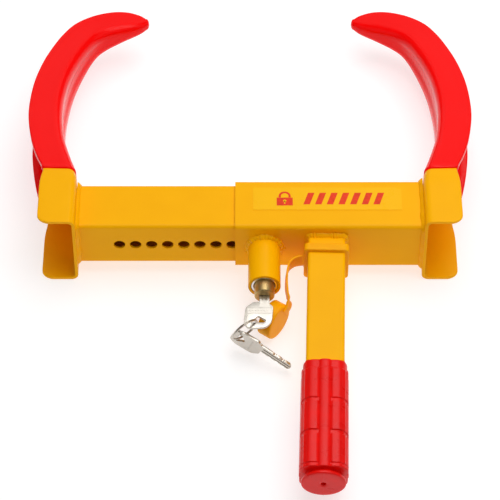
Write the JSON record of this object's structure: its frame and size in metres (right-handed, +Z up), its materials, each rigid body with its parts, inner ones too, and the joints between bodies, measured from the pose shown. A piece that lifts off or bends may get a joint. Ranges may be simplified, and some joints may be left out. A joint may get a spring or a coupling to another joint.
{
  "type": "adjustable tyre clamp lock",
  "caption": "Adjustable tyre clamp: telescoping square beam with two hooked coated claws, a push-in key lock, a long gripped handle and a tethered dust cap.",
  "frame": {"origin": "centre of the bounding box in X and Y, on the plane that the two claw brackets stand on", "axes": "+X along the beam to the fixed right claw, +Y from the handle towards the tyre, +Z up"},
  "size_m": [0.368, 0.4939, 0.072],
  "materials": {
    "yellow_paint": "glossy powder coat",
    "red_coat": "glossy dipped PVC",
    "red_grip": "moulded soft PVC, satin",
    "steel": "zinc plated",
    "chrome": "polished",
    "brass": "satin",
    "nickel": "satin nickel plate",
    "cap_plastic": "soft moulded PVC",
    "label": "printed film"
  },
  "bodies": {
    "frame": {"outer_tube": "yellow_paint", "right_claw": "yellow_paint", "right_claw_coat": "red_coat", "right_claw_weld": "yellow_paint", "lock_housing": "yellow_paint", "lock_housing_weld": "yellow_paint", "lock_sleeve": "chrome", "lock_retaining_pin": "steel", "main_spring": "steel", "handle_tube": "yellow_paint", "handle_weld": "yellow_paint", "handle_grip": "red_grip", "beam_label": "label", "cap_collar": "cap_plastic"},
    "slider": {"inner_tube": "yellow_paint", "left_claw": "yellow_paint", "left_claw_coat": "red_coat", "left_claw_weld": "yellow_paint"},
    "lock_core": {"lock_barrel": "brass", "locking_pin": "steel"},
    "plug": {"lock_plug": "brass", "plug_wafers": "brass"},
    "latch": {"side_latch": "steel"},
    "main_key": {"key": "nickel"},
    "ring": {"key_ring": "nickel"},
    "second_key": {"spare_key": "nickel"},
    "cap": {"dust_cap": "cap_plastic", "cap_strap": "cap_plastic"}
  },
  "joints": [
    {"name": "width_slide", "type": "slide", "parent": "frame", "child": "slider", "axis": [1, 0, 0], "range_m": [-0.026, 0.091]},
    {"name": "lock_push", "type": "slide", "parent": "frame", "child": "lock_core", "axis": [0, 1, 0], "range_m": [0, 0.01], "stiffness_N_per_m": 400, "springref_m": -0.01, "deforming": ["main_spring"]},
    {"name": "plug_turn", "type": "hinge", "parent": "lock_core", "child": "plug", "pos_m": [0.0115, -0.05305, 0.036], "axis": [0, 1, 0], "range_deg": [0, 90]},
    {"name": "latch_draw", "type": "slide", "parent": "lock_core", "child": "latch", "axis": [0, 0, -1], "range_m": [0, 0.0015]},
    {"name": "key_pull", "type": "slide", "parent": "plug", "child": "main_key", "axis": [0, -1, 0], "range_m": [0, 0.024]},
    {"name": "ring_swing", "type": "hinge", "parent": "main_key", "child": "ring", "pos_m": [-0.00415, -0.09434, 0.03148], "axis": [-0.5844, 0.7805, 0.2221], "range_deg": [-10, 15]},
    {"name": "spare_swing", "type": "hinge", "parent": "ring", "child": "second_key", "pos_m": [-0.0064, -0.09285, 0.0203], "axis": [-0.4771, -0.8753, -0.079], "range_deg": [-3, 15]},
    {"name": "cap_swing", "type": "hinge", "parent": "frame", "child": "cap", "pos_m": [0.043, -0.02705, 0.036], "axis": [0, 0, 1], "range_deg": [0, 8]}
  ],
  "couplings": [
    {"joint": "latch_draw", "follows": "plug_turn", "m_per_rad": 0.00095493}
  ]
}
